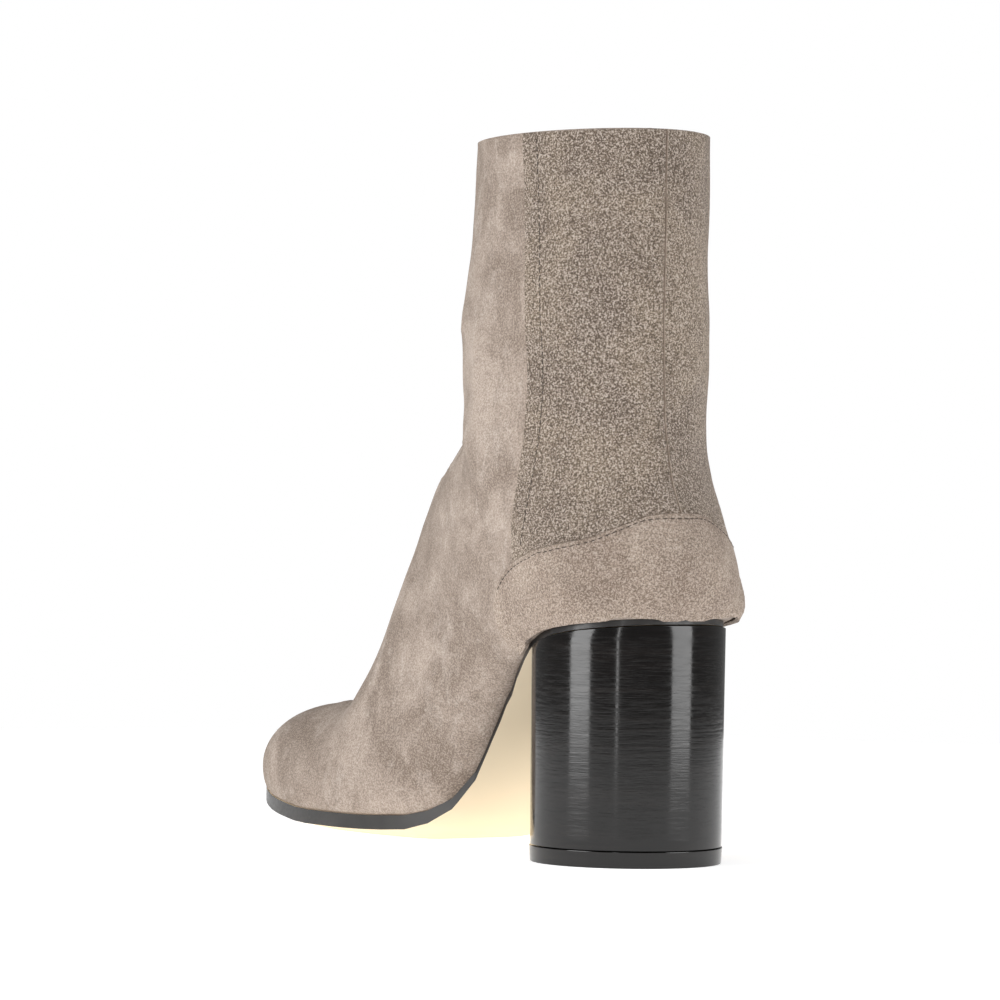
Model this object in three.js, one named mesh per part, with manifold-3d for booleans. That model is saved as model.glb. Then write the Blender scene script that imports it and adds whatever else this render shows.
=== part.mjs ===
// Heeled split-toe ankle boot for the right foot, standing empty on its sole
// Millimetres, +Z up, toe toward -Y, inner side of the foot toward +X

import * as THREE from 'three';
import Module from 'manifold-3d';

const wasm = await Module();
wasm.setup();

// Main sizes of the last and the boot
const LENGTH = 230; // back of the heel to the toe tip, along the floor
const HEIGHT = 245; // upright size of the last, a little past the collar
const COLLAR = 241.2; // collar at the back, above the floor
const HALF = 41; // half the width across the ball
const WALL = 2.0; // suede and lining together
const TOE_PUFF = 3; // first section with room inside it, behind the stiffened toe
const COLLAR_DROP = 9.5; // fall of the collar over the length of the boot
const CLEAR = 0.3; // space left between neighbouring pieces
const PANEL = 1.2; // thickness of the panels lapped over the upper
const COUNTER_PANEL = 1.6; // thickness of the heel counter

// Sole, insole and heel
const SOLE_FORE = 5.0; // outsole under the forefoot
const SOLE_WAIST = 2.4; // outsole at the waist
const SOLE_SEAT = 2.0; // outsole over the heel seat
const WELT = 1.2; // how far the outsole stands out past the upper
const INSOLE = 2.2;
const CAMBER = 3.8; // how far the sides of the forefoot curl up from the flat middle
const FLAT_MIDDLE = 0.4; // share of the half width that stays flat
const HEEL_RADIUS = 32;
const HEEL_BREAST = 50; // flat front face of the heel, from the heel back
const HEEL_CORNER = 2.5; // rounding of the two breast corners
const HEEL_TAPER = 0.4; // the heel is this much slimmer in radius at the floor
const LIFT = 5.7; // top lift that touches the floor

// Cleft between the big toe and the other toes
const CLEFT_GAP = 4.4; // width of the cleft down at the sole
const CLEFT_LIP = 10; // rounding of the two lips
const CLEFT_MOUTH = 6; // how far each side turns away at the toe tip
const CLEFT_OPENS = 26; // length of that turn
const CLEFT_ROOT = 179; // where the cleft starts, from the heel back
const CLEFT_FULL = 193; // where it first reaches the sole
const CLEFT_UNDER = 8; // how far it runs below the top of the sole

// Sections of the last, each lying in a plane that holds the sideways axis
// bx, bz: foot of the section on the sole or the heel back, as shares of LENGTH and HEIGHT
// tx, tz: its top on the ridge of the vamp or the front of the shaft, same shares
// mid: sideways place of the ridge, in, out: widest on the inner and outer side, shares of HALF
// fi, fo: half widths of the flat underside, shares of HALF
// hip: height of the widest point, cup and full: squareness below and above it
// skirt: mm carried below the sole
const SECTIONS = [
  { bx: 1.000, bz: 0.056, tx: 1.000, tz: 0.064, mid: 0.20, in: 0.21, out: 0.19, fi: 0.21, fo: 0.19, hip: 0.40, cup: 2.0, full: 2.0, skirt: 16 },
  { bx: 0.996, bz: 0.055, tx: 0.997, tz: 0.097, mid: 0.20, in: 0.41, out: 0.01, fi: 0.39, fo: 0.03, hip: 0.40, cup: 2.0, full: 2.0, skirt: 16 },
  { bx: 0.983, bz: 0.051, tx: 0.986, tz: 0.126, mid: 0.20, in: 0.61, out: -0.20, fi: 0.56, fo: -0.16, hip: 0.40, cup: 2.0, full: 2.0, skirt: 16 },
  { bx: 0.961, bz: 0.045, tx: 0.966, tz: 0.149, mid: 0.20, in: 0.77, out: -0.37, fi: 0.71, fo: -0.32, hip: 0.40, cup: 2.0, full: 2.1, skirt: 16 },
  { bx: 0.930, bz: 0.038, tx: 0.938, tz: 0.166, mid: 0.20, in: 0.87, out: -0.52, fi: 0.80, fo: -0.46, hip: 0.38, cup: 2.0, full: 2.2, skirt: 16 },
  { bx: 0.891, bz: 0.031, tx: 0.900, tz: 0.178, mid: 0.20, in: 0.93, out: -0.66, fi: 0.86, fo: -0.60, hip: 0.36, cup: 2.0, full: 2.2, skirt: 16 },
  { bx: 0.839, bz: 0.026, tx: 0.846, tz: 0.187, mid: 0.19, in: 0.97, out: -0.81, fi: 0.91, fo: -0.75, hip: 0.34, cup: 2.0, full: 2.1, skirt: 16 },
  { bx: 0.774, bz: 0.0216, tx: 0.772, tz: 0.196, mid: 0.17, in: 1.00, out: -0.94, fi: 0.94, fo: -0.88, hip: 0.31, cup: 2.0, full: 1.9, skirt: 16 },
  { bx: 0.696, bz: 0.0216, tx: 0.715, tz: 0.246, mid: 0.15, in: 1.00, out: -1.02, fi: 0.93, fo: -0.95, hip: 0.25, cup: 2.0, full: 1.65, skirt: 16 },
  { bx: 0.617, bz: 0.0225, tx: 0.680, tz: 0.335, mid: 0.12, in: 0.96, out: -1.03, fi: 0.87, fo: -0.95, hip: 0.22, cup: 2.0, full: 1.6, skirt: 14 },
  { bx: 0.543, bz: 0.027, tx: 0.650, tz: 0.422, mid: 0.09, in: 0.88, out: -0.98, fi: 0.74, fo: -0.88, hip: 0.23, cup: 2.0, full: 1.65, skirt: 12 },
  { bx: 0.478, bz: 0.050, tx: 0.622, tz: 0.486, mid: 0.06, in: 0.80, out: -0.91, fi: 0.58, fo: -0.78, hip: 0.25, cup: 2.0, full: 1.75, skirt: 11 },
  { bx: 0.413, bz: 0.116, tx: 0.591, tz: 0.531, mid: 0.04, in: 0.76, out: -0.86, fi: 0.44, fo: -0.68, hip: 0.28, cup: 2.0, full: 1.85, skirt: 10 },
  { bx: 0.343, bz: 0.208, tx: 0.554, tz: 0.561, mid: 0.02, in: 0.77, out: -0.84, fi: 0.44, fo: -0.64, hip: 0.32, cup: 2.0, full: 1.95, skirt: 9 },
  { bx: 0.270, bz: 0.268, tx: 0.522, tz: 0.586, mid: 0.00, in: 0.81, out: -0.84, fi: 0.55, fo: -0.66, hip: 0.36, cup: 2.2, full: 2.0, skirt: 8 },
  { bx: 0.200, bz: 0.300, tx: 0.501, tz: 0.603, mid: 0.00, in: 0.85, out: -0.86, fi: 0.68, fo: -0.72, hip: 0.38, cup: 2.4, full: 2.0, skirt: 8 },
  { bx: 0.135, bz: 0.316, tx: 0.491, tz: 0.614, mid: 0.00, in: 0.88, out: -0.88, fi: 0.75, fo: -0.76, hip: 0.40, cup: 2.5, full: 2.0, skirt: 7 },
  { bx: 0.080, bz: 0.325, tx: 0.490, tz: 0.624, mid: 0.00, in: 0.90, out: -0.90, fi: 0.67, fo: -0.67, hip: 0.43, cup: 2.6, full: 2.0, skirt: 6 },
  { bx: 0.038, bz: 0.330, tx: 0.493, tz: 0.632, mid: 0.00, in: 0.91, out: -0.91, fi: 0.50, fo: -0.50, hip: 0.47, cup: 2.7, full: 2.0, skirt: 5 },
  { bx: 0.012, bz: 0.333, tx: 0.498, tz: 0.640, mid: 0.00, in: 0.92, out: -0.92, fi: 0.28, fo: -0.28, hip: 0.51, cup: 2.8, full: 2.0, skirt: 4 },
  { bx: -0.004, bz: 0.340, tx: 0.502, tz: 0.648, mid: 0.00, in: 0.92, out: -0.92, fi: 0, fo: 0, hip: 0.54, cup: 2.7, full: 2.0, skirt: 0 },
  { bx: -0.016, bz: 0.362, tx: 0.505, tz: 0.659, mid: 0.00, in: 0.92, out: -0.92, fi: 0, fo: 0, hip: 0.55, cup: 2.3, full: 2.0, skirt: 0 },
  { bx: -0.019, bz: 0.398, tx: 0.505, tz: 0.676, mid: 0.00, in: 0.92, out: -0.91, fi: 0, fo: 0, hip: 0.55, cup: 1.9, full: 2.0, skirt: 0 },
  { bx: 0.006, bz: 0.456, tx: 0.502, tz: 0.705, mid: 0.00, in: 0.93, out: -0.91, fi: 0, fo: 0, hip: 0.54, cup: 1.65, full: 2.0, skirt: 0 },
  { bx: 0.040, bz: 0.516, tx: 0.493, tz: 0.745, mid: 0.00, in: 0.93, out: -0.91, fi: 0, fo: 0, hip: 0.52, cup: 1.7, full: 2.0, skirt: 0 },
  { bx: 0.060, bz: 0.600, tx: 0.478, tz: 0.795, mid: 0.00, in: 0.90, out: -0.90, fi: 0, fo: 0, hip: 0.51, cup: 1.9, full: 2.0, skirt: 0 },
  { bx: 0.064, bz: 0.710, tx: 0.466, tz: 0.856, mid: 0.00, in: 0.87, out: -0.88, fi: 0, fo: 0, hip: 0.50, cup: 2.0, full: 2.0, skirt: 0 },
  { bx: 0.065, bz: 0.850, tx: 0.461, tz: 0.930, mid: 0.00, in: 0.85, out: -0.86, fi: 0, fo: 0, hip: 0.50, cup: 2.0, full: 2.0, skirt: 0 },
  { bx: 0.065, bz: 1.040, tx: 0.456, tz: 1.040, mid: 0.00, in: 0.84, out: -0.85, fi: 0, fo: 0, hip: 0.50, cup: 2.0, full: 2.0, skirt: 0 },
];

// Cleft lips are shaped by these angles, in degrees down from the crown
const LIP_TURNS = [18, 36, 54, 72, 90];

// Smooth value of one column between the rows of a table
function between(rows, key, place) {
  const last = rows.length - 1;
  const i = Math.min(Math.max(Math.floor(place), 0), last - 1);
  const f = place - i;
  const at = (k) => rows[Math.min(Math.max(k, 0), last)][key];
  const a = at(i);
  const b = at(i + 1);
  const before = i === 0 ? a - (b - a) : at(i - 1);
  const after = i === last - 1 ? b + (b - a) : at(i + 2);
  const limit = (left, right) => {
    if (left * right <= 0) return 0;
    return (2 * left * right) / (left + right);
  };
  const startSlope = limit(a - before, b - a);
  const endSlope = limit(b - a, after - b);
  const f2 = f * f;
  const f3 = f2 * f;
  const start = (2 * f3 - 3 * f2 + 1) * a + (f3 - 2 * f2 + f) * startSlope;
  return start + (3 * f2 - 2 * f3) * b + (f3 - f2) * endSlope;
}

// Eased step from 0 to 1
function ease(value, from, to) {
  const f = Math.min(Math.max((value - from) / (to - from), 0), 1);
  return f * f * (3 - 2 * f);
}

// Upward curl of the sole across the forefoot, at a share of its half width
function camber(x, share) {
  const rise = Math.max((Math.abs(share) - FLAT_MIDDLE) / (1 - FLAT_MIDDLE), 0);
  return CAMBER * ease(x, 88, 132) * rise ** 1.6;
}

// Half width of the cleft down at the sole, wider toward its mouth
function cleftHalf(x) {
  const turn = Math.min(Math.max((x - LENGTH + CLEFT_OPENS) / CLEFT_OPENS, 0), 1);
  return CLEFT_GAP / 2 + CLEFT_MOUTH * (1 - Math.sqrt(1 - 0.96 * turn ** 2));
}

// Drop of the surface into the cleft at a distance from its middle line
function cleftDrop(distance, depth, half) {
  const reach = half + CLEFT_LIP;
  if (depth <= 0 || distance >= reach) return 0;
  const share = Math.min(1, depth / CLEFT_LIP);
  if (distance <= half) return depth;
  const inward = reach - distance;
  const arc = CLEFT_LIP - Math.sqrt(Math.max(CLEFT_LIP ** 2 - inward ** 2, 0));
  return share * arc;
}

// One side of a section, from the edge of the underside up to the ridge
function sidePoints(widest, flat, { hip, height, cup, full, depth, start, half }) {
  const list = [];
  for (let k = 0; k <= 4; k += 1) {
    const turn = (k / 4) * (Math.PI / 2);
    const out = Math.sin(turn) ** (2 / cup);
    const rise = 1 - Math.max(Math.cos(turn), 0) ** (2 / cup);
    list.push([flat + (widest - flat) * out, start + (hip - start) * rise]);
  }
  const reach = half + CLEFT_LIP;
  const crown = (m) => hip + (height - hip) * Math.max(1 - (m / widest) ** full, 0) ** (1 / full);
  const zone = Math.max(Math.min(reach, 0.92 * widest), 0.36 * widest);
  const stop = Math.acos(zone / widest);
  for (let k = 1; k <= 4; k += 1) {
    const m = widest * Math.cos((k / 4) * stop);
    list.push([m, crown(m)]);
  }
  for (const turn of LIP_TURNS) {
    const inward = CLEFT_LIP * (1 - Math.sin(THREE.MathUtils.degToRad(turn)));
    const m = (half + inward) * (zone / reach);
    list.push([m, crown(m)]);
  }
  const lowered = list.map(([m, h]) => [m, h - cleftDrop(m + 0.001, depth, half)]);
  const foot = (half - 0.05) * (zone / reach);
  lowered.push([foot, crown(foot) - depth]);
  return lowered;
}

// Closed ring of points around the section at a place along the table
function ring(place) {
  const size = (key, scale) => between(SECTIONS, key, place) * scale;
  const foot = new THREE.Vector2(size('bx', LENGTH), size('bz', HEIGHT));
  const top = new THREE.Vector2(size('tx', LENGTH), size('tz', HEIGHT));
  const up = top.clone().sub(foot);
  const height = up.length();
  up.normalize();
  const mid = size('mid', HALF);
  const hip = between(SECTIONS, 'hip', place) * height;
  const cup = between(SECTIONS, 'cup', place);
  const full = between(SECTIONS, 'full', place);
  const skirt = Math.max(between(SECTIONS, 'skirt', place), 0);
  const open = ease(foot.x, CLEFT_ROOT, CLEFT_FULL);
  const depth = open * (height + CLEFT_UNDER);
  const curl = Math.min(camber(foot.x, 1), 0.2 * height);
  const halves = [size('in', HALF) - mid, mid - size('out', HALF)];
  const flats = [Math.max(size('fi', HALF) - mid, 0), Math.max(mid - size('fo', HALF), 0)];
  const start = curl - Math.min(0.2 * skirt, 0.8);
  const shape = { hip, height, cup, full, depth, start, half: cleftHalf(foot.x) };
  const [inner, outer] = halves.map((widest, n) => sidePoints(widest, flats[n], shape));
  const loop = [...inner, [0, height - depth], ...outer.reverse().map(([m, h]) => [-m, h])];
  const set = loop.map(([m, h]) => new THREE.Vector3(mid + m, -(foot.x + up.x * h), foot.y + up.y * h));
  const hem = [set[0], set[set.length - 1]].map((p) => new THREE.Vector3(p.x, p.y, p.z - skirt));
  return [hem[0], ...set, hem[1]];
}

// Places along the table where the boot is cut into rings
function places() {
  const list = [];
  for (let i = 0; i < SECTIONS.length - 1; i += 1) {
    list.push(i);
    const fine = (i >= 3 && i <= 7) || i >= 24;
    if (fine) list.push(i + 0.5);
  }
  list.push(SECTIONS.length - 1);
  return list;
}

// Joins the rings into a closed skin, pushed out or in along its own normals
// An inner skin starts a little behind the toe tip, which leaves the toe its stiffened front
function lastForm(shift) {
  const start = shift < 0 ? TOE_PUFF : 0;
  const rings = places().filter((place) => place >= start).map((place) => ring(place));
  const count = rings[0].length;
  const points = rings.flat();
  const spots = new Map();
  const index = [];
  const unique = [];
  points.forEach((point, i) => {
    const key = [point.x, point.y, point.z].map((v) => v.toFixed(3)).join(' ');
    if (!spots.has(key)) {
      spots.set(key, unique.length);
      unique.push(point.clone());
    }
    index[i] = spots.get(key);
  });
  const faces = [];
  const face = (a, b, c) => {
    const [i, j, k] = [index[a], index[b], index[c]];
    if (i !== j && j !== k && k !== i) faces.push([i, j, k]);
  };
  for (let r = 0; r < rings.length - 1; r += 1) {
    for (let k = 0; k < count; k += 1) {
      const next = (k + 1) % count;
      const a = r * count + k;
      const b = r * count + next;
      face(b, a, a + count);
      face(b + count, b, a + count);
    }
  }
  const normals = unique.map(() => new THREE.Vector3());
  const add = ([i, j, k]) => {
    const side = unique[j].clone().sub(unique[i]);
    const other = unique[k].clone().sub(unique[i]);
    const normal = side.cross(other);
    [i, j, k].forEach((n) => normals[n].add(normal));
  };
  faces.forEach(add);
  const toe = faces.length;
  const fan = (first, flip) => {
    const loop = [...new Set(index.slice(first, first + count))];
    const hub = new THREE.Vector3();
    loop.forEach((n) => hub.add(unique[n]));
    unique.push(hub.divideScalar(loop.length));
    normals.push(new THREE.Vector3());
    loop.forEach((n, k) => {
      const next = loop[(k + 1) % loop.length];
      faces.push(flip ? [n, next, unique.length - 1] : [next, n, unique.length - 1]);
    });
  };
  const cap = () => {
    const loop = [...new Set(index.slice(0, count))];
    const flat = loop.map((n) => new THREE.Vector2(unique[n].x, unique[n].z));
    const whole = THREE.ShapeUtils.area(flat);
    THREE.ShapeUtils.triangulateShape(flat, []).forEach((corners) => {
      const part = THREE.ShapeUtils.area(corners.map((n) => flat[n]));
      const [i, j, k] = corners.map((n) => loop[n]);
      faces.push(part * whole > 0 ? [i, j, k] : [i, k, j]);
    });
  };
  if (start === 0) fan(0, true);
  if (start > 0) cap();
  faces.slice(toe).forEach(add);
  fan((rings.length - 1) * count, false);
  if (start === 0) index.slice(0, count).forEach((n) => normals[n].set(0, -1, 0));
  const moved = unique.map((point, n) => {
    const normal = normals[n];
    if (normal.lengthSq() > 0) normal.normalize();
    return point.clone().addScaledVector(normal, shift);
  });
  return solidOf(moved, faces);
}

// Turns points and faces into a solid for joining and cutting
function solidOf(points, faces) {
  const vertProperties = new Float32Array(points.flatMap((p) => [p.x, p.y, p.z]));
  const triVerts = new Uint32Array(faces.flat());
  const mesh = new wasm.Mesh({ numProp: 3, vertProperties, triVerts });
  const solid = new wasm.Manifold(mesh);
  if (solid.volume() >= 0) return solid;
  const turned = new Uint32Array(faces.flatMap(([i, j, k]) => [i, k, j]));
  return new wasm.Manifold(new wasm.Mesh({ numProp: 3, vertProperties, triVerts: turned }));
}

// Height of a triangle above its longest side
function thinness(a, b, c) {
  const sides = [a.distanceTo(b), b.distanceTo(c), c.distanceTo(a)];
  const area = new THREE.Triangle(a, b, c).getArea();
  return (2 * area) / Math.max(...sides, 1e-9);
}

// Takes the slivers out of a cut solid: close corners become one, needles turn their long side
const SHORT = 0.03;
const NEEDLE = 0.02;
function tidied(solid) {
  const mesh = solid.getMesh();
  const at = mesh.vertProperties;
  const points = [];
  for (let n = 0; n < at.length; n += 3) points.push(new THREE.Vector3(at[n], at[n + 1], at[n + 2]));
  const same = points.map((_, n) => n);
  const root = (n) => (same[n] === n ? n : root(same[n]));
  let faces = [];
  for (let n = 0; n < mesh.triVerts.length; n += 3) faces.push([...mesh.triVerts.slice(n, n + 3)]);
  faces.forEach(([i, j, k]) => [[i, j], [j, k], [k, i]].forEach(([u, v]) => {
    if (points[u].distanceTo(points[v]) < SHORT) same[Math.max(root(u), root(v))] = Math.min(root(u), root(v));
  }));
  faces = faces.map((face) => face.map(root)).filter(([i, j, k]) => i !== j && j !== k && k !== i);
  const thin = (face) => thinness(...face.map((n) => points[n]));
  for (let pass = 0; pass < 6; pass += 1) {
    const owner = new Map();
    faces.forEach(([i, j, k], n) => [[i, j], [j, k], [k, i]].forEach(([u, v]) => owner.set(`${u} ${v}`, n)));
    const touched = new Set();
    faces.forEach((face, n) => {
      if (thin(face) > NEEDLE || touched.has(n)) return;
      const sides = [0, 1, 2].map((k) => points[face[k]].distanceTo(points[face[(k + 1) % 3]]));
      const k = sides.indexOf(Math.max(...sides));
      const [u, v, tip] = [face[k], face[(k + 1) % 3], face[(k + 2) % 3]];
      const other = owner.get(`${v} ${u}`);
      if (other === undefined || touched.has(other)) return;
      const far = faces[other].find((corner) => corner !== u && corner !== v);
      if (far === tip || owner.has(`${tip} ${far}`) || owner.has(`${far} ${tip}`)) return;
      const turned = [[u, far, tip], [far, v, tip]];
      if (Math.min(...turned.map(thin)) <= thin(face)) return;
      [faces[n], faces[other]] = turned;
      owner.set(`${tip} ${far}`, n).set(`${far} ${tip}`, other);
      touched.add(n).add(other);
    });
    if (touched.size === 0) break;
  }
  const used = new Map();
  faces.flat().forEach((n) => {
    if (!used.has(n)) used.set(n, used.size);
  });
  const kept = [...used.keys()].map((n) => points[n]);
  return solidOf(kept, faces.map((face) => face.map((n) => used.get(n))));
}

// Largest body of a cut solid, without the crumbs a cut leaves along an edge
function whole(solid) {
  const body = solid.decompose().reduce((best, part) => (part.volume() > best.volume() ? part : best));
  return tidied(body.simplify(0.02));
}

// Straight block between two flat copies of an outline
function block(outline, place, low, high) {
  const flat = outline.map(([u, v]) => new THREE.Vector2(u, v));
  if (THREE.ShapeUtils.area(flat) < 0) flat.reverse();
  const count = flat.length;
  const points = [low, high].flatMap((level) => flat.map((p) => place(p.x, p.y, level)));
  const faces = [];
  THREE.ShapeUtils.triangulateShape(flat, []).forEach(([i, j, k]) => {
    faces.push([i, k, j], [i + count, j + count, k + count]);
  });
  for (let k = 0; k < count; k += 1) {
    const next = (k + 1) % count;
    faces.push([k, next, k + count], [next, next + count, k + count]);
  }
  return solidOf(points, faces);
}

// Block cut from a side view: x is the distance forward of the heel back
function sideBlock(outline, low, high) {
  return block(outline, (x, z, level) => new THREE.Vector3(level, -x, z), low, high);
}

// Block cut from a top view
function planBlock(outline, low, high) {
  return block(outline, (x, m, level) => new THREE.Vector3(m, -x, level), low, high);
}

// Line of the top of the sole: distance forward, height, half width and middle of each step
const SOLE_STEPS = 32;
function soleLine() {
  const line = [];
  const heelRow = SECTIONS.findIndex((row) => row.fi === 0) - 1;
  for (let k = 0; k <= SOLE_STEPS; k += 1) {
    const place = (k / SOLE_STEPS) * heelRow;
    const size = (key, scale) => between(SECTIONS, key, place) * scale;
    const [right, left] = [size('fi', HALF), size('fo', HALF)];
    line.push([size('bx', LENGTH), size('bz', HEIGHT), (right - left) / 2, (right + left) / 2]);
  }
  line.reverse();
  const slope = (a, b) => (b[1] - a[1]) / (b[0] - a[0]);
  const [first, second] = line;
  const [before, tip] = line.slice(-2);
  const back = [-30, first[1] + (-30 - first[0]) * slope(first, second), first[2], first[3]];
  const ahead = [tip[0] + 20, tip[1] + 20 * slope(before, tip), tip[2], tip[3]];
  return [back, ...line, ahead];
}

const TOP_OF_SOLE = soleLine();

// Steps across the sole, as shares of the half width
const ACROSS = [-2, -1, -0.7, -0.4, 0.4, 0.7, 1, 2];

// Block over the whole sole between two heights above the sole's line
function soleBlock(low, high) {
  const rows = TOP_OF_SOLE.map(([x, z, half, mid]) => ACROSS.map((share) => {
    const rise = camber(x, Math.min(Math.abs(share), 1));
    return { x, m: mid + share * Math.max(half, 20), z: z + rise };
  }));
  const wide = ACROSS.length;
  const levels = [low, high];
  const points = levels.flatMap((level) => rows.flat().map(({ x, m, z }) => new THREE.Vector3(m, -x, level(x, z))));
  const upper = rows.length * wide;
  const faces = [];
  for (let r = 0; r < rows.length - 1; r += 1) {
    for (let k = 0; k < wide - 1; k += 1) {
      const a = r * wide + k;
      faces.push([a, a + 1, a + wide], [a + 1, a + wide + 1, a + wide]);
      const u = a + upper;
      faces.push([u + 1, u, u + wide], [u + wide + 1, u + 1, u + wide]);
    }
  }
  const rim = [];
  for (let k = 0; k < wide; k += 1) rim.push(k);
  for (let r = 1; r < rows.length; r += 1) rim.push(r * wide + wide - 1);
  for (let k = wide - 2; k >= 0; k -= 1) rim.push((rows.length - 1) * wide + k);
  for (let r = rows.length - 2; r > 0; r -= 1) rim.push(r * wide);
  rim.forEach((a, n) => {
    const b = rim[(n + 1) % rim.length];
    faces.push([b, a, a + upper], [b + upper, b, a + upper]);
  });
  return solidOf(points, faces);
}

// Level of the collar, lower toward the front
function collarLevel(x) {
  return COLLAR + 0.6 - COLLAR_DROP * (x / LENGTH);
}

// Outsole thickness along the shoe
function soleThickness(x) {
  const fore = ease(x, 84, 128);
  const waist = ease(x, 46, 70);
  const rear = SOLE_SEAT + (SOLE_WAIST - SOLE_SEAT) * waist;
  return rear + (SOLE_FORE - rear) * fore;
}

// Edge of the sole seen from above on one side, pushed out or in
function soleSide(key, sign, push) {
  const heelRow = SECTIONS.findIndex((row) => row.fi === 0) - 1;
  const list = [];
  for (let k = 0; k <= 40; k += 1) {
    const place = (k / 40) * heelRow;
    const x = between(SECTIONS, 'bx', place) * LENGTH;
    list.push([x, between(SECTIONS, key, place) * HALF]);
  }
  return list.map(([x, m], k) => {
    const a = list[Math.max(k - 1, 0)];
    const b = list[Math.min(k + 1, list.length - 1)];
    const run = Math.hypot(b[0] - a[0], b[1] - a[1]);
    const out = push(x);
    const nx = (-(b[1] - a[1]) / run) * sign;
    const nm = ((b[0] - a[0]) / run) * sign;
    return [x - nx * out, m - nm * out];
  });
}

// Whole edge of the sole, from the toe tip round the inner side, the heel and the outer side
function soleOutline(push) {
  const middle = SECTIONS[0].mid * HALF;
  const clean = (list, sign) => list.filter(([, m]) => (m - middle) * sign > 0.5 || m * sign < 30);
  const inner = clean(soleSide('fi', 1, push), 1).slice(1);
  const outer = clean(soleSide('fo', -1, push), -1).slice(1);
  return [[LENGTH + push(LENGTH), middle], ...inner, ...outer.reverse()];
}

// Notch under the cleft, seen from above, wider than the cleft or narrower
function cleftNotch(root, wider) {
  const middle = SECTIONS[4].mid * HALF;
  const steps = [];
  for (let k = 0; k <= 10; k += 1) {
    const x = root + (LENGTH - 0.4 - root) * (1 - (1 - k / 10) ** 1.6);
    const blunt = Math.sqrt(Math.min((x - root) / 2.5, 1));
    steps.push([x, (cleftHalf(x) + wider) * Math.max(blunt, 0.12)]);
  }
  const last = steps[steps.length - 1][1] + 3;
  const side = [...steps, [LENGTH + 20, last]];
  return [...side.map(([x, m]) => [x, middle + m]), ...side.reverse().map(([x, m]) => [x, middle - m])];
}

// Heel seen from above: a round back cut by a flat breast with rounded corners
function heelOutline(radius) {
  const list = [];
  const breast = HEEL_BREAST;
  const c = HEEL_RADIUS;
  const inset = radius - HEEL_CORNER;
  const cornerX = breast - HEEL_CORNER;
  const cornerM = Math.sqrt(inset ** 2 - (cornerX - c) ** 2);
  const start = Math.atan2(cornerM, cornerX - c);
  for (let k = 0; k <= 4; k += 1) {
    const turn = (k / 4) * start;
    list.push([cornerX + HEEL_CORNER * Math.cos(turn), cornerM + HEEL_CORNER * Math.sin(turn)]);
  }
  for (let k = 1; k < 36; k += 1) {
    const turn = start + (k / 36) * (2 * Math.PI - 2 * start);
    list.push([c + radius * Math.cos(turn), radius * Math.sin(turn)]);
  }
  for (let k = 4; k >= 0; k -= 1) {
    const turn = (k / 4) * start;
    list.push([cornerX + HEEL_CORNER * Math.cos(turn), -cornerM - HEEL_CORNER * Math.sin(turn)]);
  }
  return list;
}

// Column with the heel outline, slimmer toward the floor
function heelColumn(low, high) {
  const at = (z) => heelOutline(HEEL_RADIUS - HEEL_TAPER * (1 - z / 80));
  const rings = [at(low), at(high)];
  const count = rings[0].length;
  const points = rings.flatMap((loop, n) => loop.map(([x, m]) => new THREE.Vector3(m, -x, n ? high : low)));
  const flat = rings[0].map(([x, m]) => new THREE.Vector2(x, m));
  const faces = [];
  THREE.ShapeUtils.triangulateShape(flat, []).forEach(([i, j, k]) => {
    faces.push([i, k, j], [i + count, j + count, k + count]);
  });
  for (let k = 0; k < count; k += 1) {
    const next = (k + 1) % count;
    faces.push([k, next, k + count], [next, next + count, k + count]);
  }
  return solidOf(points, faces);
}

// Side view of the heel counter's upper edge and front edge
const COUNTER_EDGE = [
  { x: -0.060, z: 0.470 },
  { x: 0.018, z: 0.467 },
  { x: 0.040, z: 0.450 },
  { x: 0.070, z: 0.434 },
  { x: 0.130, z: 0.420 },
  { x: 0.205, z: 0.396 },
  { x: 0.246, z: 0.368 },
  { x: 0.262, z: 0.335 },
  { x: 0.262, z: 0.305 },
  { x: 0.250, z: 0.270 },
];

// Side view of the front edge of the lapped back panels, from the counter up to the collar
const PANEL_EDGE = [
  { x: 0.200, z: 0.360 },
  { x: 0.192, z: 0.480 },
  { x: 0.188, z: 0.620 },
  { x: 0.196, z: 0.780 },
  { x: 0.212, z: 1.020 },
];

function edgeLine(rows, steps) {
  const list = [];
  for (let k = 0; k <= steps; k += 1) {
    const place = (k / steps) * (rows.length - 1);
    list.push([between(rows, 'x', place) * LENGTH, between(rows, 'z', place) * HEIGHT]);
  }
  return list;
}

const outerForm = lastForm(0);
const innerForm = lastForm(-WALL);
const region = soleBlock((x, z) => z, (x) => collarLevel(x));

// Upper: one hollow wall open at the collar and underneath
const upper = outerForm.subtract(innerForm).intersect(region);

// Panels and counter lie over the upper, cut between two larger forms
const lining = lastForm(CLEAR);
const counterLine = edgeLine(COUNTER_EDGE, 18);
const counterShape = [...counterLine, [40, 30], [-40, 30]];
const counterSide = sideBlock(counterShape, -90, 90);
const counter = lastForm(CLEAR + COUNTER_PANEL).subtract(lining).intersect(region).intersect(counterSide);

const panelForm = lastForm(CLEAR + PANEL).subtract(lining).intersect(region);
const above = counterLine.map(([x, z]) => [x, z + CLEAR]);
const panelEdge = edgeLine(PANEL_EDGE, 8);
const panelFront = sideBlock([[-40, 60], ...panelEdge, [-40, HEIGHT * 1.02]], -90, 90);
const underPanels = sideBlock([...above, [70, 40], [-40, 40]], -90, 90);
const panels = panelForm.intersect(panelFront).subtract(underPanels);
const innerHalf = sideBlock([[-60, 40], [120, 40], [120, 300], [-60, 300]], CLEAR / 2, 90);
const outerHalf = sideBlock([[-60, 40], [120, 40], [120, 300], [-60, 300]], -90, -CLEAR / 2);
const flap = panels.intersect(innerHalf);
const quarter = panels.intersect(outerHalf);

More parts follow.
